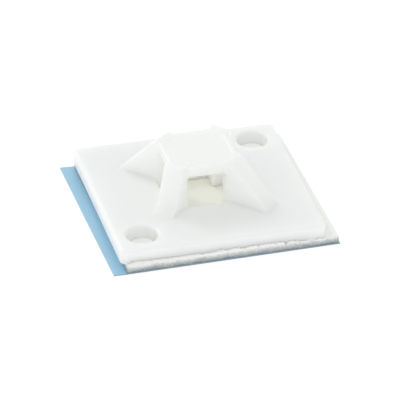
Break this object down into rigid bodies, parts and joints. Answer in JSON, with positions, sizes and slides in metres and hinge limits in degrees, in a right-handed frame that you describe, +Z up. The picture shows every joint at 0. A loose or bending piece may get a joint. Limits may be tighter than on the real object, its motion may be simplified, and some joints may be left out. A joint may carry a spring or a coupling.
{
  "type": "adhesive cable tie mount",
  "caption": "Square adhesive-backed plastic mount with a raised bridge that cable ties pass under from any side, corner screw holes, a foam tape pad and a peel-off liner.",
  "frame": {"origin": "centre of the square plate in plan, at the height of the release liner's underside", "axes": "+Z up from the liner through the bridge, normal to the plate; X and Y along the plate's sides, with the long legs of the bridge towards the corners (-X, +Y) and (+X, -Y)"},
  "size_m": [0.0315, 0.0294, 0.0094],
  "materials": {
    "nylon": "natural uncoloured nylon, translucent white, satin as moulded",
    "foam": "white closed-cell foam tape, matt, with rough cut sides",
    "liner": "light blue coated release paper, satin"
  },
  "bodies": {
    "root": {"mount": "nylon", "foam_pad": "foam", "release_liner": "liner"}
  },
  "joints": []
}
